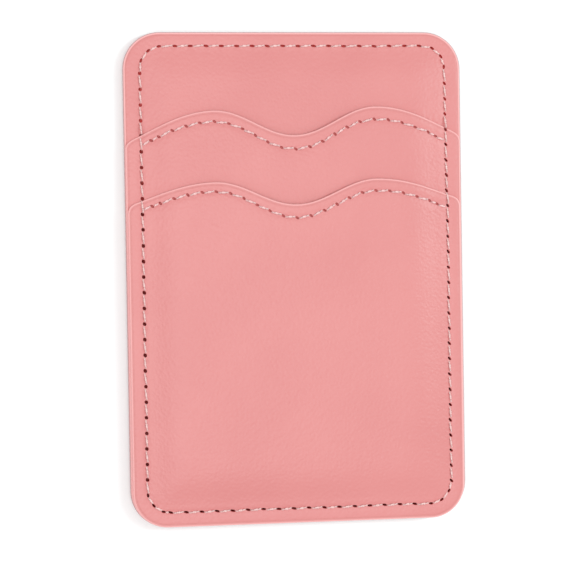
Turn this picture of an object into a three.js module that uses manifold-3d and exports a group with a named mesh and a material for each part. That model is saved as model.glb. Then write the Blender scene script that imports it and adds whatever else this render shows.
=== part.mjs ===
// A stick-on card holder for the back of a phone, lying on its back as it does on a table.
// Two soft pocket panels with wave-cut mouths are sewn by one seam round the edge to a base panel and
// a back panel, which hold a thin stiffening board between them. A sticky pad under the back panel
// fixes the holder to the phone, and a paper liner covers the pad until then.
//
// Millimetres. X runs across the holder, +Y points to the mouths of the pockets, and +Z points out of
// the front. The origin is the middle of the underside, on the face of the liner.
import * as THREE from 'three';
import { mergeVertices } from 'three/addons/utils/BufferGeometryUtils.js';
import Module from 'manifold-3d';

const wasm = await Module();
wasm.setup();

// Outline of the holder.
const holderWidth = 67;
const holderHeight = 97;
const cornerRadius = 7.3;

// Thicknesses, from the underside to the front.
const linerThickness = 0.15;
const padThickness = 0.6;
const backThickness = 0.7;
const boardThickness = 0.4;
const baseThickness = 0.8;
const pocketThickness = 0.7;

// Insets: the seam and the lowest pocket panel from the edge, each further pocket from the one under
// it, the board and the pad from the seam. The board has its own corner radius and a little air above
// it. The liner hangs over the pad all round.
const seamInset = 3.1;
const pocketInset = 0.4;
const boardInset = 2.4;
const boardCorner = 5.2;
const boardGap = 0.05;
const padInset = 1.9;
const linerOverhang = 0.4;

// How the panels climb inside the seam, measured in from the seam. The base climbs over the edge of
// the board. Each pocket swells above the panel under it by its slack, and the middle of its mouth
// stands open by the lift.
const boardClimb = { start: 0.9, end: 1.9 };
const swell = { start: 0.9, end: 5.2 };
const pocketSlack = 0.35;
const mouthLift = 0.5;
const liftHalfWidth = 26;
const liftDepth = 30;

// The mouth of a pocket is a wave: two crests at crestX, a dip in the middle, and a flank where it
// crosses the seam. Its drops are measured from the top of the holder. Outside the seam the mouth
// turns down into the side of the panel over the corner drop.
const crestX = 16.4;
const upperCrestDrop = 15;
const upperDipDrop = 20.6;
const upperFlankDrop = 19.4;
const lowerCrestDrop = 29.3;
const lowerDipDrop = 34.2;
const lowerFlankDrop = 32.4;
const mouthCornerDrop = 3;

// The hem is the line of stitches below a mouth, with its drops measured from the mouth. It keeps
// clear of the seam at both ends.
const hemCrestDrop = 2.2;
const hemDipDrop = 2.4;
const hemFlankDrop = 2.5;
const hemEndGap = 1.3;

// Stitches and their needle holes. A hole keeps its clearance to the mouth of a pocket.
const seamStitch = 3.05;
const cornerStitch = 2.2;
const hemStitch = 2.86;
const holeLength = 1.24;
const holeWidth = 0.7;
const holeClearance = 0.18;

// Thread, pressed a little flat by its pull. It dips into every hole, where it locks with the thread
// of the other side, and climbs out again over the lead.
const threadWidth = 0.48;
const threadHeight = 0.44;
const threadGap = 0.08;
const threadDip = 0.3;
const threadLead = 0.5;
const stepGap = 0.2;

// Smoothness of arcs, waves and formed panels, and how far tools cut past a surface.
const cornerSegments = 3;
const waveSegments = 32;
const spansAcross = 4;
const spansAlong = 8;
const cutMargin = 2;

// Levels at the edge of the holder, where every panel lies flat on the next.
const padBottom = linerThickness;
const backBottom = padBottom + padThickness;
const baseBottom = backBottom + backThickness;
const pocketBottom = (index) => baseBottom + baseThickness + index * pocketThickness;

// The line of the seam: a rounded rectangle inside the edge.
const seamHalfWidth = holderWidth / 2 - seamInset;
const seamHalfHeight = holderHeight / 2 - seamInset;
const seamRadius = cornerRadius - seamInset;

const materials = {
  leather: new THREE.MeshStandardMaterial({ color: 0xe79c9b, roughness: 0.5, metalness: 0 }),
  thread: new THREE.MeshStandardMaterial({ color: 0xf3c3bf, roughness: 0.6, metalness: 0 }),
  board: new THREE.MeshStandardMaterial({ color: 0xb9b2a8, roughness: 0.9, metalness: 0 }),
  adhesive: new THREE.MeshStandardMaterial({ color: 0xe9e6df, roughness: 0.4, metalness: 0 }),
  liner: new THREE.MeshStandardMaterial({ color: 0xf4f2ec, roughness: 0.6, metalness: 0 }),
};

const holder = new THREE.Group();

function addPiece(name, geometry, material) {
  const mesh = new THREE.Mesh(geometry, material);
  mesh.name = name;
  holder.add(mesh);
}

// A closed geometry as a solid that can be cut, and back.
function solidOf(geometry) {
  const bare = new THREE.BufferGeometry();
  bare.setAttribute('position', geometry.getAttribute('position'));
  if (geometry.index) bare.setIndex(geometry.index);
  const merged = mergeVertices(bare, 1e-5);
  return new wasm.Manifold(new wasm.Mesh({
    numProp: 3,
    vertProperties: merged.getAttribute('position').array,
    triVerts: new Uint32Array(merged.index.array),
  }));
}

function geometryOf(solid) {
  const mesh = solid.getMesh();
  const geometry = new THREE.BufferGeometry();
  geometry.setAttribute('position', new THREE.BufferAttribute(mesh.vertProperties, mesh.numProp));
  geometry.setIndex(new THREE.BufferAttribute(mesh.triVerts, 1));
  geometry.computeVertexNormals();
  return geometry;
}

// A flat sheet with a given outline.
function plate(outline, bottom, thickness) {
  const geometry = new THREE.ExtrudeGeometry(outline, {
    depth: thickness,
    bevelEnabled: false,
    curveSegments: cornerSegments,
  });
  return geometry.translate(0, 0, bottom);
}

function insetOutline(inset, radius = cornerRadius - inset) {
  const x = holderWidth / 2 - inset - radius;
  const y = holderHeight / 2 - inset - radius;
  const outline = new THREE.Shape();
  outline.absarc(x, -y, radius, -Math.PI / 2, 0);
  outline.absarc(x, y, radius, 0, Math.PI / 2);
  outline.absarc(-x, y, radius, Math.PI / 2, Math.PI);
  outline.absarc(-x, -y, radius, Math.PI, Math.PI * 1.5);
  outline.closePath();
  return outline;
}

// Needle holes of the seam round the edge. Each straight run and each corner is shared out evenly, with
// half a stitch at both ends, and the corners have shorter stitches.
function seamHoles() {
  const x = seamHalfWidth - seamRadius;
  const y = seamHalfHeight - seamRadius;
  const arc = (centreX, centreY, from) => {
    return new THREE.ArcCurve(centreX, centreY, seamRadius, from, from + Math.PI / 2, false);
  };
  const line = (fromX, fromY, toX, toY) => {
    return new THREE.LineCurve(new THREE.Vector2(fromX, fromY), new THREE.Vector2(toX, toY));
  };
  const runs = [
    line(seamHalfWidth, -y, seamHalfWidth, y),
    arc(x, y, 0),
    line(x, seamHalfHeight, -x, seamHalfHeight),
    arc(-x, y, Math.PI / 2),
    line(-seamHalfWidth, y, -seamHalfWidth, -y),
    arc(-x, -y, Math.PI),
    line(-x, -seamHalfHeight, x, -seamHalfHeight),
    arc(x, -y, Math.PI * 1.5),
  ];
  return runs.flatMap((run, index) => {
    const pitch = index % 2 ? cornerStitch : seamStitch;
    const count = Math.max(1, Math.round(run.getLength() / pitch));
    return Array.from({ length: count }, (_, i) => {
      const along = (i + 0.5) / count;
      return { at: run.getPointAt(along), along: run.getTangentAt(along) };
    });
  });
}

const edgeHoles = seamHoles();

// A height on the side of the seam, moved just clear of the nearest needle hole.
function clearOfHoles(height) {
  const least = holeLength / 2 + holeClearance;
  const onSide = edgeHoles.filter((hole) => Math.abs(hole.along.x) < Math.abs(hole.along.y));
  const near = onSide.find((hole) => Math.abs(hole.at.y - height) < least);
  if (!near) return height;
  return near.at.y + (height < near.at.y ? -least : least);
}

// The waves of a pocket, with heights measured up from the middle of the holder.
function pocketWaves(name, crestDrop, dipDrop, flankDrop) {
  const top = holderHeight / 2;
  const mouth = { crest: top - crestDrop, dip: top - dipDrop, flank: clearOfHoles(top - flankDrop) };
  const hem = {
    crest: mouth.crest - hemCrestDrop,
    dip: mouth.dip - hemDipDrop,
    flank: mouth.flank - hemFlankDrop,
  };
  return { name, mouth, hem };
}

const pockets = [
  pocketWaves('upper', upperCrestDrop, upperDipDrop, upperFlankDrop),
  pocketWaves('lower', lowerCrestDrop, lowerDipDrop, lowerFlankDrop),
];

// A wave with round crests, which falls by a quarter wave from each crest to the seam.
function waveHeight(wave, x) {
  const out = Math.abs(x);
  if (out < crestX) {
    return wave.crest - (wave.crest - wave.dip) * (1 + Math.cos((Math.PI * out) / crestX)) / 2;
  }
  const turn = (Math.PI / 2) * (out - crestX) / (seamHalfWidth - crestX);
  return wave.crest - (wave.crest - wave.flank) * (1 - Math.cos(turn));
}

class WaveCurve extends THREE.Curve {
  constructor(wave, halfWidth) {
    super();
    this.wave = wave;
    this.halfWidth = halfWidth;
  }

  getPoint(t, target = new THREE.Vector2()) {
    const x = this.halfWidth * (1 - 2 * t);
    return target.set(x, waveHeight(this.wave, x));
  }
}

// A pocket panel follows the edge of the holder at the sides and the bottom. Outside the seam its mouth
// runs on straight and turns down into the side in a soft corner.
function pocketOutline(index) {
  const inset = pocketInset * (index + 1);
  const radius = cornerRadius - inset;
  const halfWidth = holderWidth / 2 - inset;
  const bottom = radius + inset - holderHeight / 2;
  const { mouth } = pockets[index];
  const flankSlope = (Math.PI / 2) * (mouth.crest - mouth.flank) / (seamHalfWidth - crestX);
  const cornerHeight = mouth.flank - flankSlope * (halfWidth - seamHalfWidth);
  const sideTop = mouth.flank - mouthCornerDrop;
  const outline = new THREE.Shape();
  outline.absarc(halfWidth - radius, bottom, radius, -Math.PI / 2, 0);
  outline.lineTo(halfWidth, sideTop);
  outline.quadraticCurveTo(halfWidth, cornerHeight, seamHalfWidth, mouth.flank);
  const mouthCurve = new WaveCurve(mouth, seamHalfWidth);
  for (const point of mouthCurve.getPoints(waveSegments).slice(1)) outline.lineTo(point.x, point.y);
  outline.quadraticCurveTo(-halfWidth, cornerHeight, -halfWidth, sideTop);
  outline.lineTo(-halfWidth, bottom);
  outline.absarc(radius - halfWidth, bottom, radius, Math.PI, Math.PI * 1.5);
  outline.closePath();
  return outline;
}

// How far a point lies inside the seam, measured square to it.
function insideSeam(x, y) {
  const beyondX = Math.abs(x) - (seamHalfWidth - seamRadius);
  const beyondY = Math.abs(y) - (seamHalfHeight - seamRadius);
  const corner = Math.hypot(Math.max(beyondX, 0), Math.max(beyondY, 0));
  return seamRadius - corner - Math.min(Math.max(beyondX, beyondY), 0);
}

function share(value, { start, end }) {
  return THREE.MathUtils.clamp((value - start) / (end - start), 0, 1);
}

function baseUnderside(x, y) {
  return baseBottom + (boardThickness + boardGap) * share(insideSeam(x, y), boardClimb);
}

// The space between a pocket and the panel under it.
function pocketGap(index, x, y) {
  const { dip } = pockets[index].mouth;
  const swelled = 1 - (1 - share(insideSeam(x, y), swell)) ** 2;
  const across = Math.cos((Math.PI / 2) * Math.min(Math.abs(x) / liftHalfWidth, 1)) ** 2;
  const along = THREE.MathUtils.smoothstep(y, dip - liftDepth, dip);
  return pocketSlack * swelled + mouthLift * across * along;
}

function pocketUnderside(index, x, y) {
  const under = index ? pocketUnderside(index - 1, x, y) : baseUnderside(x, y);
  const thickness = index ? pocketThickness : baseThickness;
  return under + thickness + pocketGap(index, x, y);
}

// Grid lines of a formed panel, from edge to edge: close together where the panels climb beside the
// seam, and evenly spread between.
function gridLines(halfSize, seamHalfSize, innerSpans) {
  const climb = [boardClimb.start, (boardClimb.start + boardClimb.end) / 2, boardClimb.end];
  climb.push((boardClimb.end + swell.end) / 2);
  const inner = seamHalfSize - swell.end;
  const lines = climb.map((inset) => seamHalfSize - inset);
  for (let i = 0; i <= innerSpans; i++) lines.push(inner - (2 * inner * i) / innerSpans);
  const outer = halfSize + cutMargin;
  return [outer, ...lines, ...climb.map((inset) => inset - seamHalfSize).reverse(), -outer].reverse();
}

const gridX = gridLines(holderWidth / 2, seamHalfWidth, spansAcross);
const gridY = gridLines(holderHeight / 2, seamHalfHeight, spansAlong);

// A sheet of even thickness over the grid, with its underside at a given height everywhere.
function formedSheet(underside, thickness) {
  const columns = gridX.length;
  const rows = gridY.length;
  const positions = [];
  const indices = [];
  for (const lift of [0, thickness]) {
    for (const y of gridY) for (const x of gridX) positions.push(x, y, underside(x, y) + lift);
  }
  const vertex = (column, row, top) => (top * rows + row) * columns + column;
  const quad = (a, b, c, d) => indices.push(a, b, c, a, c, d);
  for (let row = 0; row + 1 < rows; row++) {
    for (let column = 0; column + 1 < columns; column++) {
      const [right, up] = [column + 1, row + 1];
      quad(vertex(column, row, 1), vertex(right, row, 1), vertex(right, up, 1), vertex(column, up, 1));
      quad(vertex(column, row, 0), vertex(column, up, 0), vertex(right, up, 0), vertex(right, row, 0));
    }
  }
  const rim = [];
  for (let column = 0; column + 1 < columns; column++) rim.push([column, 0]);
  for (let row = 0; row + 1 < rows; row++) rim.push([columns - 1, row]);
  for (let column = columns - 1; column > 0; column--) rim.push([column, rows - 1]);
  for (let row = rows - 1; row > 0; row--) rim.push([0, row]);
  rim.forEach(([column, row], i) => {
    const [nextColumn, nextRow] = rim[(i + 1) % rim.length];
    quad(
      vertex(column, row, 0), vertex(nextColumn, nextRow, 0),
      vertex(nextColumn, nextRow, 1), vertex(column, row, 1),
    );
  });
  const geometry = new THREE.BufferGeometry();
  geometry.setAttribute('position', new THREE.Float32BufferAttribute(positions, 3));
  geometry.setIndex(indices);
  return geometry;
}

// The height of a sheet's underside between its grid points, where each cell is split in two by the
// line from its lower left to its upper right.
function heightOnGrid(underside, x, y) {
  const column = gridX.findIndex((line) => line > x);
  const row = gridY.findIndex((line) => line > y);
  const [left, right] = [gridX[column - 1], gridX[column]];
  const [low, high] = [gridY[row - 1], gridY[row]];
  const across = (x - left) / (right - left);
  const up = (y - low) / (high - low);
  const turn = across > up ? underside(right, low) : underside(left, high);
  const [first, second] = across > up ? [across, up] : [up, across];
  const start = underside(left, low);
  return start + (turn - start) * first + (underside(right, high) - turn) * second;
}

// All the needle holes of a line of stitches, as one cutting tool.
const highestSwell = boardThickness + boardGap + pockets.length * (pocketSlack + mouthLift);
const toolBottom = -cutMargin;
const toolHeight = pocketBottom(pockets.length) + highestSwell + 2 * cutMargin;

function holeTool(holes) {
  const tools = holes.map(({ at, along }) => {
    const punch = new THREE.BoxGeometry(holeLength, holeWidth, toolHeight);
    punch.rotateZ(Math.atan2(along.y, along.x));
    return solidOf(punch.translate(at.x, at.y, toolBottom + toolHeight / 2));
  });
  return wasm.Manifold.union(tools);
}

const edgeTool = holeTool(edgeHoles);

function formedPanel(underside, thickness, outline) {
  const trim = solidOf(plate(outline, toolBottom, toolHeight));
  return solidOf(formedSheet(underside, thickness)).intersect(trim).subtract(edgeTool);
}

// A thread through a row of stations, each with its place, the direction of the stitches there and the
// height of the thread's flat side. The thread rises from that side to a ridge that faces out, which is
// up on the front and down on the back. A closed thread runs on to its start.
function threadGeometry(stations, facing, closed) {
  const positions = [];
  for (const { at, along, height } of stations) {
    const [sideX, sideY] = [(along.y * threadWidth * facing) / 2, (-along.x * threadWidth * facing) / 2];
    positions.push(at.x, at.y, height + threadHeight * facing);
    positions.push(at.x + sideX, at.y + sideY, height);
    positions.push(at.x - sideX, at.y - sideY, height);
  }
  const indices = [];
  const spans = closed ? stations.length : stations.length - 1;
  for (let i = 0; i < spans; i++) {
    const here = i * 3;
    const next = ((i + 1) % stations.length) * 3;
    for (let side = 0; side < 3; side++) {
      const other = (side + 1) % 3;
      indices.push(here + side, here + other, next + other, here + side, next + other, next + side);
    }
  }
  if (!closed) {
    const last = (stations.length - 1) * 3;
    indices.push(0, 2, 1, last, last + 1, last + 2);
  }
  const geometry = new THREE.BufferGeometry();
  geometry.setAttribute('position', new THREE.Float32BufferAttribute(positions, 3));
  geometry.setIndex(indices);
  geometry.computeVertexNormals();
  return geometry;
}

// A point of a stitch, a given distance from one of its holes.
function onStitch(from, to, distance, height) {
  const step = to.at.clone().sub(from.at);
  const along = step.clone().normalize();
  return { at: from.at.clone().addScaledVector(along, distance), along, height };
}

// The top of the holder at the seam, which steps up where each pocket begins.
function seamLevel({ at }) {
  const covering = pockets.filter(({ mouth }) => at.y < mouth.flank).length;
  return pocketBottom(covering);
}

// The needle thread on the front. A stitch that crosses the mouth of a pocket runs low to the edge of
// the panel and then on top of it.
function frontStitch(from, to) {
  const [fromLevel, toLevel] = [seamLevel(from), seamLevel(to)];
  const length = from.at.distanceTo(to.at);
  const stations = [
    { ...from, height: fromLevel - threadDip },
    onStitch(from, to, threadLead, fromLevel + threadGap),
    onStitch(from, to, length - threadLead, toLevel + threadGap),
  ];
  if (fromLevel === toLevel) return stations;
  const level = Math.max(fromLevel, toLevel) + threadGap;
  const crossed = pockets.find(({ mouth }) => (from.at.y < mouth.flank) !== (to.at.y < mouth.flank));
  const toEdge = Math.abs(crossed.mouth.flank - from.at.y);
  const edge = toEdge + (fromLevel < toLevel ? -stepGap : stepGap);
  const low = fromLevel < toLevel ? 1 : 2;
  const room = fromLevel < toLevel ? edge : length - edge;
  if (room < threadLead + threadHeight) stations[low].height = level;
  else stations.splice(2, 0, onStitch(from, to, edge, level));
  return stations;
}

// The bobbin thread lies the same way on the flat back.
function backStitch(from, to) {
  const length = from.at.distanceTo(to.at);
  const height = backBottom - threadGap;
  return [
    { ...from, height: backBottom + threadDip },
    onStitch(from, to, threadLead, height),
    onStitch(from, to, length - threadLead, height),
  ];
}

function edgeStations(stitch) {
  return edgeHoles.flatMap((hole, i) => stitch(hole, edgeHoles[(i + 1) % edgeHoles.length]));
}

// The hem of a pocket is sewn through its panel alone, so that the pocket stays open.
function hemHoles(index) {
  const curve = new WaveCurve(pockets[index].hem, seamHalfWidth - hemEndGap - holeLength / 2);
  const count = Math.round(curve.getLength() / hemStitch);
  return Array.from({ length: count + 1 }, (_, i) => {
    return { at: curve.getPointAt(i / count), along: curve.getTangentAt(i / count) };
  });
}

function hemStations(index, holes) {
  const underside = (x, y) => pocketUnderside(index, x, y);
  const top = ({ x, y }) => heightOnGrid(underside, x, y) + pocketThickness;
  const dipIn = (hole) => ({ ...hole, height: top(hole.at) - threadDip });
  const stations = holes.slice(1).flatMap((to, i) => {
    const from = holes[i];
    const length = from.at.distanceTo(to.at);
    const ends = [threadLead, length - threadLead].map((distance) => onStitch(from, to, distance, 0));
    for (const end of ends) end.height = top(end.at) + threadGap;
    return [dipIn(from), ...ends];
  });
  return [...stations, dipIn(holes.at(-1))];
}

const padOutlineInset = seamInset + padInset;
const linerOutline = insetOutline(padOutlineInset - linerOverhang);
addPiece('release_liner', plate(linerOutline, 0, linerThickness), materials.liner);

const padOutline = insetOutline(padOutlineInset);
addPiece('adhesive_pad', plate(padOutline, padBottom, padThickness), materials.adhesive);

const backPanel = solidOf(plate(insetOutline(0), backBottom, backThickness)).subtract(edgeTool);
addPiece('back_panel', geometryOf(backPanel), materials.leather);

const boardOutline = insetOutline(seamInset + boardInset, boardCorner);
addPiece('stiffener_board', plate(boardOutline, baseBottom, boardThickness), materials.board);

const basePanel = formedPanel(baseUnderside, baseThickness, insetOutline(0));
addPiece('base_panel', geometryOf(basePanel), materials.leather);

pockets.forEach(({ name }, index) => {
  const underside = (x, y) => pocketUnderside(index, x, y);
  const holes = hemHoles(index);
  const panel = formedPanel(underside, pocketThickness, pocketOutline(index));
  addPiece(`${name}_pocket`, geometryOf(panel.subtract(holeTool(holes))), materials.leather);
  const hem = threadGeometry(hemStations(index, holes), 1, false);
  addPiece(`${name}_hem_thread`, hem, materials.thread);
});

const seamThread = threadGeometry(edgeStations(frontStitch), 1, true);
addPiece('edge_seam_thread', seamThread, materials.thread);

const bobbinThread = threadGeometry(edgeStations(backStitch), -1, true);
addPiece('edge_bobbin_thread', bobbinThread, materials.thread);

export default holder;
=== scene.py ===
import math
import random
import bpy
import bmesh
from mathutils import Matrix, Vector


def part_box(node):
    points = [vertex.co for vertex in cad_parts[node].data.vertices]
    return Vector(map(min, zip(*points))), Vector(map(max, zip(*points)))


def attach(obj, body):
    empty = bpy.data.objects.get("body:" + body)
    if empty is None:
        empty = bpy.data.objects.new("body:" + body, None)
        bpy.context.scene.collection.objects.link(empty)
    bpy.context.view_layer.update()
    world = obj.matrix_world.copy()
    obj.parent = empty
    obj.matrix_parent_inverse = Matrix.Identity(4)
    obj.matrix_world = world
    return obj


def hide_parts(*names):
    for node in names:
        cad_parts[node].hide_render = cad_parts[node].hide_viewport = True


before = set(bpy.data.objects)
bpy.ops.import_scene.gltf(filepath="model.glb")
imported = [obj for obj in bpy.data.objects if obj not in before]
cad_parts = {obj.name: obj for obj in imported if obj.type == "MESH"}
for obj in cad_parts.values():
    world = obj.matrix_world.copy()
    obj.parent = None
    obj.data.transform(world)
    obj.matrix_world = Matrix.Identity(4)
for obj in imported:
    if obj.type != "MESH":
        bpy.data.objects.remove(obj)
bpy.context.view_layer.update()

# The holder lies on its back on a pale table and is seen from above, turned a little to its left. The
# focal length and the place of the camera are those that put its outline where the photograph has it.
mm = 0.001
image_size = 576
focal_pixels = 1500
sensor_width = 36
tilt_forward = math.radians(1.3)
turn_left = math.radians(6.7)
roll = math.radians(1.1)
object_in_view = Vector((1.45, 2.0, -298.8)) * mm
nearest_seen = 10 * mm
table_width = 4

camera_data = bpy.data.cameras.new("camera")
camera_data.sensor_width = sensor_width
camera_data.lens = focal_pixels / image_size * sensor_width
camera_data.clip_start = nearest_seen
camera = bpy.data.objects.new("camera", camera_data)
bpy.context.collection.objects.link(camera)
turned = Matrix.Rotation(roll, 4, "Z")
turned = turned @ Matrix.Rotation(turn_left, 4, "Y")
turned = turned @ Matrix.Rotation(tilt_forward, 4, "X")
camera.matrix_world = (Matrix.Translation(object_in_view) @ turned).inverted()
bpy.context.scene.camera = camera

bpy.ops.object.select_all(action="DESELECT")
bpy.ops.mesh.primitive_plane_add(size=table_width)
table = bpy.context.object
table.name = "table"
table_finish = bpy.data.materials.new("table")
table_finish.use_nodes = True
paint = table_finish.node_tree.nodes["Principled BSDF"]
paint.inputs["Base Color"].default_value = (0.94, 0.94, 0.94, 1)
paint.inputs["Roughness"].default_value = 0.9
table.data.materials.append(table_finish)

# Soft studio light: a pale room, a large white lamp above the near left, and a long cool strip at the
# right that draws the sheen beside the right-hand seam.
room = bpy.data.worlds.new("room")
room.use_nodes = True
room.node_tree.nodes["Background"].inputs["Color"].default_value = (1, 1, 1, 1)
room.node_tree.nodes["Background"].inputs["Strength"].default_value = 0.74
bpy.context.scene.world = room
bpy.context.scene.view_settings.view_transform = "Standard"


def add_lamp(name, place, size, energy, colour):
    data = bpy.data.lights.new(name, "AREA")
    data.shape = "RECTANGLE"
    data.size, data.size_y = size
    data.energy = energy
    data.color = colour
    lamp = bpy.data.objects.new(name, data)
    bpy.context.collection.objects.link(lamp)
    lamp.location = place
    lamp.rotation_euler = (-Vector(place)).to_track_quat("-Z", "Y").to_euler()


add_lamp("overhead", place=(-0.12, -0.06, 0.85), size=(0.5, 0.5), energy=2.65, colour=(1, 1, 1))
add_lamp("side_strip", place=(0.41, 0.1, 0.44), size=(0.08, 0.3), energy=1.2, colour=(0.72, 1, 1))


# The release liner is a coated paper sheet that covers the sticky pad until the holder is used. It is
# die-cut with round corners and hangs over the pad by less than half a millimetre all round.
corner_cuts = 12
edge_cuts = 3
square_edge = math.radians(60)
sheet_smoothing = math.radians(50)
upright_slack = 1e-6
tone_low = 0.35
tone_high = 0.65


def rounded_sheet(name, node, corner, edge, trim=0):
    low, high = (Vector(limit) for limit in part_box(node))
    low.xy += Vector((trim, trim))
    high.xy -= Vector((trim, trim))
    bpy.ops.object.select_all(action="DESELECT")
    bpy.ops.mesh.primitive_cube_add(size=1)
    sheet = bpy.context.object
    sheet.name = name
    sheet.data.transform(Matrix.Translation((low + high) / 2) @ Matrix.Diagonal((*(high - low), 1)))
    bpy.ops.object.mode_set(mode="EDIT")
    bpy.ops.mesh.select_all(action="DESELECT")
    shell = bmesh.from_edit_mesh(sheet.data)
    for side in shell.edges:
        start, end = (vertex.co for vertex in side.verts)
        side.select_set(abs(start.z - end.z) > 0 and (start - end).xy.length < upright_slack)
    bmesh.update_edit_mesh(sheet.data)
    bpy.ops.mesh.bevel(offset=corner, segments=corner_cuts, affect="EDGES")
    bpy.ops.object.mode_set(mode="OBJECT")
    rounding = sheet.modifiers.new("edge", "BEVEL")
    rounding.width = edge
    rounding.segments = edge_cuts
    rounding.angle_limit = square_edge
    bpy.ops.object.modifier_apply(modifier=rounding.name)
    bpy.ops.object.shade_smooth_by_angle(angle=sheet_smoothing)
    return sheet


def new_finish(name, colour, roughness):
    finish = bpy.data.materials.new(name)
    finish.use_nodes = True
    shader = finish.node_tree.nodes["Principled BSDF"]
    shader.inputs["Base Color"].default_value = (*colour, 1)
    shader.inputs["Roughness"].default_value = roughness
    return finish, finish.node_tree, shader


def noise_node(tree, scale, detail, roughness, stretch=(1, 1, 1)):
    place = tree.nodes.new("ShaderNodeTexCoord")
    mapping = tree.nodes.new("ShaderNodeMapping")
    mapping.inputs["Scale"].default_value = stretch
    noise = tree.nodes.new("ShaderNodeTexNoise")
    noise.inputs["Scale"].default_value = scale
    noise.inputs["Detail"].default_value = detail
    noise.inputs["Roughness"].default_value = roughness
    tree.links.new(place.outputs["Object"], mapping.inputs["Vector"])
    tree.links.new(mapping.outputs["Vector"], noise.inputs["Vector"])
    return noise


def two_tone(tree, shader, noise, first, second):
    ramp = tree.nodes.new("ShaderNodeValToRGB")
    ramp.color_ramp.elements[0].position = tone_low
    ramp.color_ramp.elements[0].color = (*first, 1)
    ramp.color_ramp.elements[1].position = tone_high
    ramp.color_ramp.elements[1].color = (*second, 1)
    tree.links.new(noise.outputs["Fac"], ramp.inputs["Fac"])
    tree.links.new(ramp.outputs["Color"], shader.inputs["Base Color"])
    return ramp


def add_bump(tree, shader, height, strength, distance):
    bump = tree.nodes.new("ShaderNodeBump")
    bump.inputs["Strength"].default_value = strength
    bump.inputs["Distance"].default_value = distance
    tree.links.new(height, bump.inputs["Height"])
    tree.links.new(bump.outputs["Normal"], shader.inputs["Normal"])


liner_paper, tree, shader = new_finish("release_paper", colour=(0.86, 0.84, 0.79), roughness=0.42)
fibres = noise_node(tree, scale=900, detail=6, roughness=0.7, stretch=(1, 0.35, 1))
two_tone(tree, shader, fibres, first=(0.84, 0.82, 0.77), second=(0.9, 0.89, 0.85))
add_bump(tree, shader, fibres.outputs["Fac"], strength=0.25, distance=0.05 * mm)
shader.inputs["Coat Weight"].default_value = 0.15

liner = rounded_sheet("release_liner_sheet", "release_liner", corner=2.7 * mm, edge=0.04 * mm)
liner.data.materials.append(liner_paper)
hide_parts("release_liner")
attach(liner, "root")

# The adhesive pad is soft double-sided foam tape, die-cut with round corners. One side is stuck to the
# back panel inside its seam, and the other will hold on to the phone.
foam_tape, tree, shader = new_finish("foam_tape", colour=(0.83, 0.81, 0.76), roughness=0.55)
cells = noise_node(tree, scale=2600, detail=3, roughness=0.7)
two_tone(tree, shader, cells, first=(0.78, 0.76, 0.7), second=(0.87, 0.85, 0.8))
add_bump(tree, shader, cells.outputs["Fac"], strength=0.4, distance=0.06 * mm)

pad = rounded_sheet("adhesive_foam_pad", "adhesive_pad", corner=2.3 * mm, edge=0.12 * mm)
pad.data.materials.append(foam_tape)
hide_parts("adhesive_pad")
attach(pad, "root")

# The back panel is the leather of the phone side, cut to the full outline and pierced by the needle of
# the seam. Its edge is rounded by the cutting, and the seam draws a shallow furrow into its face.
back_low, back_high = (Vector(corner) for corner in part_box("back_panel"))
half_width = back_high.x
half_height = back_high.y
corner_radius = 7.3 * mm
seam_left = -half_width + 3.38 * mm
seam_right = half_width - 3.18 * mm
seam_bottom = -half_height + 3.1 * mm
seam_top = half_height - 2.76 * mm
seam_radius = 4.4 * mm
seam_stitch = 3.05 * mm
corner_stitch = 2.2 * mm
side_holes = (
    (0.9 * mm, 0.5 * mm, math.radians(40)),
    (1.16 * mm, 0.5 * mm, math.radians(-8)),
    (0.84 * mm, 0.7 * mm, math.radians(20)),
    (1.12 * mm, 0.5 * mm, math.radians(-8)),
)
corner_hole = (0.95 * mm, 0.5 * mm, 0)
corner_lead = 0.1
hole_wander = 0.05 * mm
askew_wander = 0.15
length_wander = (0.9, 1.1)
hole_facets = 10
blind_depth = 0.28 * mm
seam_seed = 5
seam_phases = (0, 0.18, 0.3, 0)
seam_centre = Vector(((seam_left + seam_right) / 2, (seam_bottom + seam_top) / 2))
seam_half_width = (seam_right - seam_left) / 2
seam_half_height = (seam_top - seam_bottom) / 2
arc_steps = 16
edge_rounding = 0.3 * mm
crease_inset = 0.52 * mm
crease_depth = 0.05 * mm
crease_width = 0.1 * mm
rim_rings = tuple(ring * mm for ring in (0.03, 0.09, 0.18, 0.3, 0.42, 0.52, 0.62, 0.8))
furrow_depth = 0.13 * mm
furrow_width = 0.42 * mm
furrow_reach = 3 * furrow_width
pucker_depth = 0.07 * mm
pucker_width = 0.5 * mm
seam_band = 1.4 * mm
seam_spacing = 0.42 * mm
across_spacing = 1.3 * mm
back_spacing = 2.6 * mm
first_line = 0.2 * mm
weld_distance = 0.01 * mm
leather_smoothing = math.radians(48)
pore_share = 0.8
grain_depth = 0.06 * mm
below_all = -1 * mm
above_all = 9 * mm


def arc_points(centre_x, centre_y, radius, start):
    """A quarter of a circle, against the clock from the start angle in degrees."""
    angles = [math.radians(start + 90 * step / arc_steps) for step in range(arc_steps + 1)]
    return [(centre_x + radius * math.cos(a), centre_y + radius * math.sin(a)) for a in angles]


def full_outline():
    x = half_width - corner_radius
    y = half_height - corner_radius
    return (arc_points(x, -y, corner_radius, -90) + arc_points(x, y, corner_radius, 0)
            + arc_points(-x, y, corner_radius, 90) + arc_points(-x, -y, corner_radius, 180))


def needle_hole(x, y, direction, shape, chance):
    """A hole as (x, y, direction, length, width): the needle's blade stands askew to the seam."""
    length, width, askew = shape
    return (seam_centre.x + x + chance.uniform(-hole_wander, hole_wander),
            seam_centre.y + y + chance.uniform(-hole_wander, hole_wander),
            direction + askew + chance.uniform(-askew_wander, askew_wander),
            length * chance.uniform(*length_wander), width)


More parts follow.
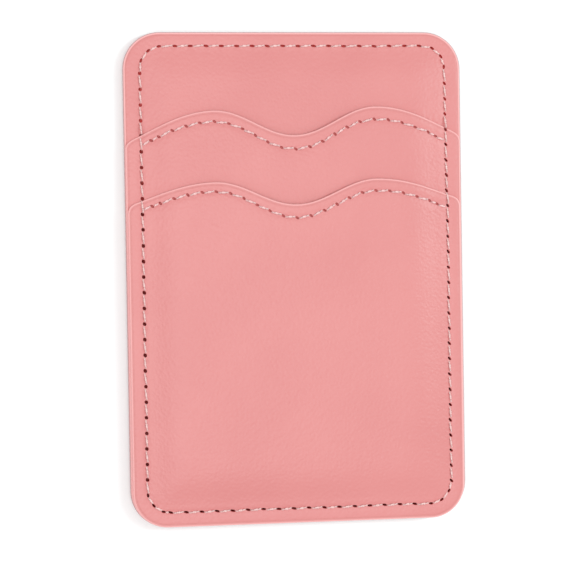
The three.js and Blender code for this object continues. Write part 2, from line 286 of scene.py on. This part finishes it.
def seam_holes():
    """The needle holes of the seam, against the clock from the right side."""
    chance = random.Random(seam_seed)
    x = seam_half_width - seam_radius
    y = seam_half_height - seam_radius
    holes = []
    sides = [(x, y, 0, 2 * y), (-x, y, 90, 2 * x), (-x, -y, 180, 2 * y), (x, -y, 270, 2 * x)]
    for (centre_x, centre_y, start, run), phase, side_hole in zip(sides, seam_phases, side_holes):
        out = math.radians(start)
        along = out + math.pi / 2
        count = round(run / seam_stitch)
        for i in range(count):
            back = run * (1 - (i + phase) / count)
            holes.append(needle_hole(centre_x + seam_radius * math.cos(out) - back * math.cos(along),
                                     centre_y + seam_radius * math.sin(out) - back * math.sin(along),
                                     along, side_hole, chance))
        count = round(seam_radius * math.pi / 2 / corner_stitch)
        for i in range(count):
            angle = out + math.pi / 2 * (i + corner_lead + phase) / count
            holes.append(needle_hole(centre_x + seam_radius * math.cos(angle),
                                     centre_y + seam_radius * math.sin(angle),
                                     angle + math.pi / 2, corner_hole, chance))
    return holes


edge_holes = seam_holes()


def inside_seam(x, y):
    """How far a point lies inside the line of the seam, and below zero outside it."""
    beyond_x = abs(x - seam_centre.x) - (seam_half_width - seam_radius)
    beyond_y = abs(y - seam_centre.y) - (seam_half_height - seam_radius)
    corner = math.hypot(max(beyond_x, 0), max(beyond_y, 0))
    return seam_radius - corner - min(max(beyond_x, beyond_y), 0)


def bell(distance, width):
    return math.exp(-(distance / width) ** 2)


def seam_draw(x, y, holes, furrow_distance):
    """How far the thread pulls the face down: a furrow along the seam, deepest at each hole."""
    if abs(furrow_distance) > furrow_reach:
        return 0
    nearest = min(math.hypot(x - hole[0], y - hole[1]) for hole in holes)
    furrow = furrow_depth * bell(furrow_distance, furrow_width)
    return furrow + pucker_depth * bell(nearest, pucker_width)


def cut_lines(low, high, bands, coarse, fine):
    """Lines from low to high that lie coarse apart, and fine apart inside the bands."""
    lines = []
    at = low + first_line
    while at < high:
        lines.append(at)
        at += fine if any(start <= at < end for start, end in bands) else coarse
    return lines


def leather_panel(name, outline, lines_x, lines_y, top, underside, thickness):
    """A panel cut to an outline, with rounded edges, whose faces lie at the given heights."""
    bpy.ops.object.select_all(action="DESELECT")
    bpy.ops.mesh.primitive_circle_add(vertices=len(outline), radius=1, fill_type="NGON")
    panel = bpy.context.object
    panel.name = name
    for vertex, (x, y) in zip(panel.data.vertices, outline):
        vertex.co = (x, y, 0)
    bpy.ops.object.mode_set(mode="EDIT")
    face = bmesh.from_edit_mesh(panel.data)
    face.verts.layers.float.new("rim")
    bpy.ops.mesh.select_all(action="SELECT")
    for outer, inner in zip((0, *rim_rings), rim_rings):
        bpy.ops.mesh.inset(thickness=inner - outer, depth=0, use_even_offset=True)
        face = bmesh.from_edit_mesh(panel.data)
        rim = face.verts.layers.float["rim"]
        for vertex in face.verts:
            if vertex.select:
                vertex[rim] = inner
    for x in lines_x:
        bpy.ops.mesh.select_all(action="SELECT")
        bpy.ops.mesh.bisect(plane_co=(x, 0, 0), plane_no=(1, 0, 0))
    for y in lines_y:
        bpy.ops.mesh.select_all(action="SELECT")
        bpy.ops.mesh.bisect(plane_co=(0, y, 0), plane_no=(0, 1, 0))
    bpy.ops.mesh.select_all(action="SELECT")
    bpy.ops.mesh.remove_doubles(threshold=weld_distance)
    bpy.ops.mesh.select_all(action="SELECT")
    bpy.ops.mesh.extrude_region_move(TRANSFORM_OT_translate={"value": (0, 0, -thickness)})
    bpy.ops.mesh.select_all(action="SELECT")
    bpy.ops.mesh.normals_make_consistent(inside=False)
    bpy.ops.object.mode_set(mode="OBJECT")
    insets = [item.value for item in panel.data.attributes["rim"].data]
    for vertex, inset in zip(panel.data.vertices, insets):
        x, y, z = vertex.co
        into = min(inset, edge_rounding)
        drop = edge_rounding - math.sqrt(edge_rounding ** 2 - (edge_rounding - into) ** 2)
        drop += crease_depth * bell(inset - crease_inset, crease_width)
        if z > -thickness / 2:
            vertex.co.z = top(x, y) - drop
        else:
            vertex.co.z = underside(x, y) + drop
    return panel


def far_below(x, y):
    return below_all


def far_above(x, y):
    return above_all


def punch(panel, holes, pierced, low, high):
    """Cuts the needle holes out of a panel, between two heights that are functions of the place.

    The walls of the holes take the given finish, which paints the shade inside them, and are marked as
    far from the rim, so that no painted edge highlight is drawn on them.
    """
    punches = []
    for x, y, direction, length, width in holes:
        bpy.ops.object.select_all(action="DESELECT")
        bpy.ops.mesh.primitive_cylinder_add(vertices=hole_facets, radius=0.5, depth=1)
        tool = bpy.context.object
        middle = (low(x, y) + high(x, y)) / 2
        depth = high(x, y) - low(x, y)
        tool.data.transform(Matrix.Translation((x, y, middle)) @ Matrix.Rotation(direction, 4, "Z")
                            @ Matrix.Diagonal((length, width, depth, 1)))
        tool.data.materials.append(pierced)
        punches.append(tool)
    bpy.ops.object.select_all(action="DESELECT")
    for tool in punches:
        tool.select_set(True)
    bpy.context.view_layer.objects.active = punches[0]
    bpy.ops.object.join()
    tool = bpy.context.object
    cut = panel.modifiers.new("holes", "BOOLEAN")
    cut.operation = "DIFFERENCE"
    cut.solver = "MANIFOLD"
    cut.material_mode = "TRANSFER"
    cut.object = tool
    bpy.ops.object.select_all(action="DESELECT")
    panel.select_set(True)
    bpy.context.view_layer.objects.active = panel
    bpy.ops.object.modifier_apply(modifier=cut.name)
    bpy.data.objects.remove(tool)
    rim = panel.data.attributes["rim"].data
    wall = panel.data.materials.find(pierced.name)
    for face in panel.data.polygons:
        if face.material_index == wall:
            for index in face.vertices:
                rim[index].value = rim_rings[-1]
    bpy.ops.object.shade_smooth_by_angle(angle=leather_smoothing)


def leather_finish(name, dark, light, edge_stops, roughness, grain):
    """Leather whose tone near the cut edge follows stops of (inset in mm, colour, share)."""
    finish, tree, shader = new_finish(name, light, roughness)
    shade = noise_node(tree, scale=60, detail=3, roughness=0.5)
    tones = two_tone(tree, shader, shade, dark, light)
    rim = tree.nodes.new("ShaderNodeAttribute")
    rim.attribute_name = "rim"
    across = tree.nodes.new("ShaderNodeMapRange")
    across.inputs["From Max"].default_value = rim_rings[-1]
    tree.links.new(rim.outputs["Fac"], across.inputs["Value"])
    # This ramp paints the highlight and the shade of the cut edge over the leather's tone, by how far in
    # from the outline a point lies.
    edge_light_ramp = tree.nodes.new("ShaderNodeValToRGB")
    elements = edge_light_ramp.color_ramp.elements
    while len(elements) < len(edge_stops):
        elements.new(0.5)
    for element, (inset, colour, share) in zip(elements, edge_stops):
        element.position = inset * mm / rim_rings[-1]
        element.color = (*colour, share)
    tree.links.new(across.outputs["Result"], edge_light_ramp.inputs["Fac"])
    paint = tree.nodes.new("ShaderNodeMix")
    paint.data_type = "RGBA"
    tree.links.new(edge_light_ramp.outputs["Alpha"], paint.inputs["Factor"])
    tree.links.new(tones.outputs["Color"], paint.inputs["A"])
    tree.links.new(edge_light_ramp.outputs["Color"], paint.inputs["B"])
    tree.links.new(paint.outputs["Result"], shader.inputs["Base Color"])
    pores = tree.nodes.new("ShaderNodeTexVoronoi")
    pores.feature = "SMOOTH_F1"
    pores.inputs["Scale"].default_value = 1700
    pores.inputs["Smoothness"].default_value = 0.5
    place = tree.nodes.new("ShaderNodeTexCoord")
    tree.links.new(place.outputs["Object"], pores.inputs["Vector"])
    creases = noise_node(tree, scale=1500, detail=5, roughness=0.7)
    blend = tree.nodes.new("ShaderNodeMath")
    blend.operation = "MULTIPLY_ADD"
    tree.links.new(pores.outputs["Distance"], blend.inputs[0])
    blend.inputs[1].default_value = pore_share
    tree.links.new(creases.outputs["Fac"], blend.inputs[2])
    add_bump(tree, shader, blend.outputs[0], strength=grain, distance=grain_depth)
    shader.inputs["Sheen Weight"].default_value = 0.1
    shader.inputs["Sheen Roughness"].default_value = 0.4
    return finish


coral_dark = (0.648, 0.212, 0.206)
coral_light = (0.67, 0.227, 0.22)
# Tones painted at the rim. The side wall of the bare cut edge is greyer and painted darker for the shade
# on it. Where the rounded edge catches the light there is a painted highlight over a slightly lighter
# edge finish. The crease just inside gets painted shade.
shaded_cut_edge = (0.55, 0.31, 0.31)
edge_paint_and_highlight = (0.87, 0.42, 0.41)
crease_shade = (0.56, 0.19, 0.18)
leather_roughness = 0.36
leather_grain = 0.85
# The panel's rim, from the outline inwards: the painted shade of the wall, the painted highlight on the
# rounding, then painted shade in the crease.
panel_edge_stops = (
    (0, shaded_cut_edge, 1),
    (0.14, shaded_cut_edge, 1),
    (0.26, edge_paint_and_highlight, 1),
    (0.38, edge_paint_and_highlight, 0.7),
    (0.54, crease_shade, 0.4),
    (0.78, crease_shade, 0),
)
panel_leather = leather_finish(
    "panel_leather", coral_dark, coral_light, panel_edge_stops, leather_roughness, leather_grain)


# The walls of the needle holes are coloured a dark red that paints the shade deep in the holes.
def shaded_hole_finish(name, dark, light):
    finish, tree, shader = new_finish(name, dark, 1)
    shader.inputs["Specular IOR Level"].default_value = 0.05
    fibres = noise_node(tree, scale=3000, detail=2, roughness=0.6)
    two_tone(tree, shader, fibres, dark, light)
    return finish


shaded_hole_leather = shaded_hole_finish("shaded_hole_leather", (0.72, 0.13, 0.12), (0.82, 0.17, 0.155))

seam_bands_x = [(-half_width, seam_left + seam_band), (seam_right - seam_band, half_width)]
seam_bands_y = [(-half_height, seam_bottom + seam_band), (seam_top - seam_band, half_height)]
panel_lines_x = cut_lines(-half_width, half_width, seam_bands_x, across_spacing, seam_spacing)
back_lines_y = cut_lines(-half_height, half_height, seam_bands_y, back_spacing, seam_spacing)


def back_underside(x, y):
    return back_low.z + seam_draw(x, y, edge_holes, inside_seam(x, y))


back = leather_panel(
    "back_leather", full_outline(), panel_lines_x, back_lines_y,
    lambda x, y: back_high.z, back_underside, back_high.z - back_low.z)
back.data.materials.append(panel_leather)
back.data.materials.append(shaded_hole_leather)
punch(back, edge_holes, shaded_hole_leather, far_below, lambda x, y: back_low.z + blind_depth)
punch(back, edge_holes, shaded_hole_leather, lambda x, y: back_high.z - blind_depth, far_above)
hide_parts("back_panel")
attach(back, "root")

# The stiffener is a sheet of grey pressed board between the back and the base panel, die-cut well inside
# the seam so that the base leather climbs over its edge without a step.
pressed_board, tree, shader = new_finish("pressed_board", colour=(0.45, 0.42, 0.38), roughness=0.9)
pulp = noise_node(tree, scale=700, detail=6, roughness=0.75)
two_tone(tree, shader, pulp, first=(0.36, 0.33, 0.29), second=(0.5, 0.47, 0.42))
add_bump(tree, shader, pulp.outputs["Fac"], strength=0.5, distance=0.1 * mm)

board = rounded_sheet(
    "stiffener_board_sheet", "stiffener_board", corner=4 * mm, edge=0.15 * mm, trim=3 * mm)
board.data.materials.append(pressed_board)
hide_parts("stiffener_board")
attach(board, "root")

# The base panel is the leather that shows above the pockets. It climbs from the rim over the edge of
# the board, so that the field inside the seam stands a little proud of the rim.
base_low, base_high = (Vector(corner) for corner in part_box("base_panel"))
base_thickness = 0.8 * mm
base_rise = base_high.z - base_low.z - base_thickness
board_climb = (0.3 * mm, 6.4 * mm)
front_spacing = 1.6 * mm


def ease(value, start, end):
    """A smooth climb from 0 at the start to 1 at the end."""
    share = min(max((value - start) / (end - start), 0), 1)
    return share * share * (3 - 2 * share)


def base_underside(x, y):
    return base_low.z + base_rise * ease(inside_seam(x, y), *board_climb)


def base_top(x, y):
    return base_underside(x, y) + base_thickness - seam_draw(x, y, edge_holes, inside_seam(x, y))


base = leather_panel(
    "base_leather", full_outline(), panel_lines_x,
    cut_lines(-half_height, half_height, seam_bands_y, front_spacing, seam_spacing),
    base_top, base_underside, base_thickness)
base.data.materials.append(panel_leather)
base.data.materials.append(shaded_hole_leather)
punch(base, edge_holes, shaded_hole_leather, far_below, far_above)
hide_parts("base_panel")
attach(base, "root")

# The two pocket panels lie on the base one over the other. Each mouth is cut in a wave, and a hem seam
# follows it through the panel alone. Between the seams the soft leather swells a little, and the
# middle of each mouth stands open for the next card.
pocket_thickness = 0.7 * mm
swell = (0.6 * mm, 9 * mm)
pocket_slack = 0.24 * mm
mouth_lift = 0.42 * mm
lift_half_width = 26 * mm
lift_depth = 30 * mm
crest_x = 15.9 * mm
wave_steps = 40
mouth_straight = 0.45
mouth_corner_drop = 2.7 * mm
mouth_corner_steps = 8
mouth_margin = 0.15 * mm
measuring_steps = 400
hem_full_stitches = 20
hem_end_gap = 2 * mm
hem_end_stitch = 1.7 * mm
hem_hole_length = 0.84 * mm
hem_hole_width = 0.5 * mm
hem_hole_depth = 0.3 * mm
hem_hole_slant = math.radians(-35)
hem_slant_wander = 0.3
hem_fade = (0.3 * mm, 1.5 * mm)
hem_band_below = 1.8 * mm
hem_band_above = 0.9 * mm
wave_drops = {
    "upper": (15.15 * mm, 20.4 * mm, 19.6 * mm),
    "lower": (29.3 * mm, 34 * mm, 32.6 * mm),
}
wave_tilts = {"upper": 0.02, "lower": 0.012}
hem_tilts = {"upper": 0.009, "lower": -0.003}
hem_drops = {
    "upper": (2.35 * mm, 2.75 * mm, 2.3 * mm),
    "lower": (2.1 * mm, 2.6 * mm, 2.3 * mm),
}
pocket_insets = {"upper": (0.28 * mm, 0.1 * mm), "lower": (0.56 * mm, 0.2 * mm)}

mouths = {}
hems = {}
for name, drops in wave_drops.items():
    mouths[name] = (*(half_height - drop for drop in drops), wave_tilts[name])
    below = [half_height - drop - further for drop, further in zip(drops, hem_drops[name])]
    hems[name] = (*below, hem_tilts[name])


def wave_height(wave, x):
    """The height of a wave: two round crests, a dip between them, and a fall to the seam at each side."""
    crest, dip, flank, tilt = wave
    out = abs(x)
    if out < crest_x:
        return tilt * x + crest - (crest - dip) * (1 + math.cos(math.pi * out / crest_x)) / 2
    turn = math.pi / 2 * (out - crest_x) / (seam_half_width - crest_x)
    return tilt * x + crest - (crest - flank) * (1 - math.cos(turn))


def wave_distance(wave, x, y):
    """About how far a point lies from a wave, measured square to it."""
    step = 0.1 * mm
    slope = (wave_height(wave, x + step) - wave_height(wave, x - step)) / (2 * step)
    return (y - wave_height(wave, x)) / math.hypot(1, slope)


def pocket_gap(name, x, y):
    """How far a pocket panel stands off what lies below it."""
    dip = mouths[name][1]
    across = math.cos(math.pi / 2 * min(abs(x) / lift_half_width, 1)) ** 2
    swollen = pocket_slack * ease(inside_seam(x, y), *swell)
    return swollen + mouth_lift * across * ease(y, dip - lift_depth, dip)


def upper_underside(x, y):
    return base_underside(x, y) + base_thickness + pocket_gap("upper", x, y)


def lower_underside(x, y):
    return upper_underside(x, y) + pocket_thickness + pocket_gap("lower", x, y)


def mouth_corner(name, side):
    """The short curve of a mouth outside the seam, from the seam to the side edge."""
    crest, _, flank, tilt = mouths[name]
    reach = half_width - pocket_insets[name][0] - seam_half_width
    fall = math.pi / 2 * (crest - flank) / (seam_half_width - crest_x) * reach
    start = flank + side * tilt * seam_half_width
    points = [(side * seam_half_width, start)]
    for step in range(mouth_corner_steps + 1):
        t = step / mouth_corner_steps
        out = 1 - (1 - mouth_straight) * (1 - t) ** 2
        down = fall * out + t * t * (mouth_corner_drop - fall)
        points.append((side * (seam_half_width + out * reach), start - down))
    return points


def pocket_outline(name):
    beside, below = pocket_insets[name]
    radius = corner_radius - beside
    x = half_width - beside - radius
    y = half_height - below - radius
    right = mouth_corner(name, 1)
    left = mouth_corner(name, -1)
    across = [seam_half_width * (1 - step / wave_steps) for step in range(1, 2 * wave_steps)]
    wave = [(at, wave_height(mouths[name], at)) for at in across]
    return arc_points(x, -y, radius, -90) + right[::-1] + wave + left + arc_points(-x, -y, radius, 180)


def hem_holes(name):
    """The needle holes of a hem, evenly shared out along its wave, with a short stitch at each end."""
    chance = random.Random(name)
    half = seam_half_width - hem_end_gap
    across = [half * (1 - 2 * step / measuring_steps) for step in range(measuring_steps + 1)]
    points = [(x, wave_height(hems[name], x)) for x in across]
    lengths = [0]
    for start, end in zip(points, points[1:]):
        lengths.append(lengths[-1] + math.dist(start, end))
    even = (lengths[-1] - 2 * hem_end_stitch) / hem_full_stitches
    inner = [hem_end_stitch + i * even for i in range(hem_full_stitches + 1)]
    holes = []
    for place in (0, *inner, lengths[-1]):
        reached = next(k for k, length in enumerate(lengths) if length >= place)
        step = max(reached, 1)
        (x0, y0), (x1, y1) = points[step - 1], points[step]
        share = (place - lengths[step - 1]) / (lengths[step] - lengths[step - 1])
        direction = hem_hole_slant + chance.uniform(-hem_slant_wander, hem_slant_wander)
        x = x0 + (x1 - x0) * share + chance.uniform(-hole_wander, hole_wander)
        y = y0 + (y1 - y0) * share + chance.uniform(-hole_wander, hole_wander)
        holes.append((x, y, direction, hem_hole_length, hem_hole_width))
    return holes


# The pocket edges get a painted highlight from the very edge, fading into painted shade in the crease
# inside it.
pocket_edge_stops = (
    (0, edge_paint_and_highlight, 0.5),
    (0.06, edge_paint_and_highlight, 1),
    (0.22, edge_paint_and_highlight, 0.9),
    (0.4, crease_shade, 0.1),
    (0.54, crease_shade, 0.4),
    (0.78, crease_shade, 0),
)
pocket_leather = leather_finish(
    "pocket_leather", coral_dark, coral_light, pocket_edge_stops, leather_roughness, leather_grain)
# The shallow blind holes of the hems are painted a duller red for the shade inside them.
shaded_hem_hole = shaded_hole_finish("shaded_hem_hole", (0.54, 0.14, 0.135), (0.62, 0.18, 0.175))
hem_hole_rows = {name: hem_holes(name) for name in mouths}
pocket_undersides = {"upper": upper_underside, "lower": lower_underside}


def pocket_top(name, x, y):
    along_seam = seam_draw(x, y, edge_holes, inside_seam(x, y))
    along_hem = seam_draw(x, y, hem_hole_rows[name], wave_distance(hems[name], x, y))
    inside = ease(inside_seam(x, y), *hem_fade)
    return pocket_undersides[name](x, y) + pocket_thickness - along_seam - along_hem * inside


for name in ("upper", "lower"):
    hem_band = (min(hems[name][:3]) - hem_band_below, mouths[name][0] + hem_band_above)
    bands_y = [*seam_bands_y, hem_band]
    pocket = leather_panel(
        f"{name}_pocket_leather", pocket_outline(name), panel_lines_x,
        cut_lines(-half_height, half_height, bands_y, front_spacing, seam_spacing),
        lambda x, y: pocket_top(name, x, y), pocket_undersides[name], pocket_thickness)
    pocket.data.materials.append(pocket_leather)
    pocket.data.materials.append(shaded_hole_leather)
    pocket.data.materials.append(shaded_hem_hole)
    mouth = mouths[name]
    covered = [hole for hole in edge_holes if hole[1] < wave_height(mouth, hole[0]) - mouth_margin]
    punch(pocket, covered, shaded_hole_leather, far_below, far_above)
    punch(pocket, hem_hole_rows[name], shaded_hem_hole,
          lambda x, y: pocket_top(name, x, y) - hem_hole_depth, far_above)
    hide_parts(f"{name}_pocket")
    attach(pocket, "root")

# The thread is bonded polyester, twisted from two plies. One stitch is modelled as a short twisted
# length whose ends dive into two neighbouring holes, and each stitch of a seam is a copy of it.
thread_radius = 0.2 * mm
thread_dive = 0.5 * mm
thread_seat = 0.14 * mm
thread_facets = 8
thread_taper = 0.3
taper_span = (0.6, 1)
dive_span = (0.74, 1.06)
ply_groove = 0.27
ply_twist = math.radians(380)
seam_slant = math.radians(7)
hem_slant = math.radians(9)
seam_girth = 1.3
hem_girth = 1.35
hole_share = 0.36
stitch_cuts = (-0.42, -0.28, -0.1, 0.1, 0.28, 0.42)


def thread_finish(name, dark, light):
    finish, tree, shader = new_finish(name, light, roughness=0.5)
    filaments = noise_node(tree, scale=5200, detail=3, roughness=0.6)
    two_tone(tree, shader, filaments, dark, light)
    add_bump(tree, shader, filaments.outputs["Fac"], strength=0.3, distance=0.03 * mm)
    shader.inputs["Sheen Weight"].default_value = 0.3
    return finish


seam_polyester = thread_finish("seam_polyester", (0.8, 0.42, 0.4), (0.94, 0.66, 0.64))
hem_polyester = thread_finish("hem_polyester", (0.8, 0.42, 0.41), (0.93, 0.63, 0.62))


def model_stitch():
    """A twisted stitch of unit length along X, pressed a little into the height zero."""
    bpy.ops.object.select_all(action="DESELECT")
    bpy.ops.mesh.primitive_cylinder_add(
        vertices=thread_facets, radius=thread_radius, depth=1, end_fill_type="NGON")
    stitch = bpy.context.object
    stitch.data.transform(Matrix.Rotation(math.pi / 2, 4, "Y"))
    bpy.ops.object.mode_set(mode="EDIT")
    for cut in stitch_cuts:
        bpy.ops.mesh.select_all(action="SELECT")
        bpy.ops.mesh.bisect(plane_co=(cut, 0, 0), plane_no=(1, 0, 0))
    bpy.ops.object.mode_set(mode="OBJECT")
    for vertex in stitch.data.vertices:
        x, y, z = vertex.co
        turn = math.atan2(z, y)
        end = abs(2 * x)
        lobe = 1 - ply_groove * (1 - math.cos(2 * turn))
        radius = thread_radius * lobe * (1 - thread_taper * ease(end, *taper_span))
        twisted = turn - x * ply_twist
        dive = thread_dive * ease(end, *dive_span)
        vertex.co = (x, radius * math.cos(twisted), radius * math.sin(twisted) + thread_seat - dive)
    bpy.ops.object.shade_smooth()
    return stitch


stitch_pattern = model_stitch()


def sew(name, row, height, side, node, thread, slant, girth):
    """A row of stitches from hole to hole, on the front (side 1) or the back (side -1)."""
    stitches = []
    for start, end in zip(row, row[1:]):
        run = Vector((end[0] - start[0], end[1] - start[1]))
        length = run.length - hole_share * (start[3] + end[3])
        x = (start[0] + end[0]) / 2
        y = (start[1] + end[1]) / 2
        start_height = height(start[0], start[1])
        end_height = height(end[0], end[1])
        rest = max(side * height(x, y), side * (start_height + end_height) / 2) * side
        heading = math.atan2(run.y, run.x) + slant
        rise = math.atan2(end_height - start_height, run.length)
        stitch = stitch_pattern.copy()
        stitch.data = stitch_pattern.data.copy()
        bpy.context.collection.objects.link(stitch)
        flip = Matrix.Rotation(math.pi, 4, "X") if side < 0 else Matrix.Identity(4)
        stitch.data.transform(
            Matrix.Translation((x, y, rest)) @ Matrix.Rotation(heading, 4, "Z")
            @ Matrix.Rotation(-rise, 4, "Y") @ flip @ Matrix.Diagonal((length, girth, girth, 1)))
        stitches.append(stitch)
    bpy.ops.object.select_all(action="DESELECT")
    for stitch in stitches:
        stitch.select_set(True)
    bpy.context.view_layer.objects.active = stitches[0]
    bpy.ops.object.join()
    seam = bpy.context.object
    seam.name = name
    seam.data.materials.append(thread)
    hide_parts(node)
    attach(seam, "root")


def front_height(x, y):
    """The height of the face that the edge seam lies on: the topmost pocket there, or the base."""
    covering = [name for name in ("upper", "lower") if y < wave_height(mouths[name], x)]
    return pocket_top(covering[-1], x, y) if covering else base_top(x, y)


def with_ends(row):
    """A hem row with one more stitch at each end, which runs up to the line of the edge seam."""
    ends = []
    for side, first, second in ((1, row[0], row[1]), (-1, row[-1], row[-2])):
        slope = (first[1] - second[1]) / (first[0] - second[0])
        reach = side * seam_half_width - first[0]
        ends.append((side * seam_half_width, first[1] + slope * reach, *first[2:]))
    return [ends[0], *row, ends[1]]


closed_seam = [*edge_holes, edge_holes[0]]
sew("edge_seam_stitches", closed_seam, front_height, 1, "edge_seam_thread",
    seam_polyester, seam_slant, seam_girth)
sew("edge_bobbin_stitches", closed_seam, back_underside, -1, "edge_bobbin_thread",
    seam_polyester, slant=0, girth=1)
for name in ("upper", "lower"):
    sew(f"{name}_hem_stitches", with_ends(hem_hole_rows[name]),
        lambda x, y: pocket_top(name, x, y), 1, f"{name}_hem_thread",
        hem_polyester, hem_slant, hem_girth)
bpy.data.objects.remove(stitch_pattern)
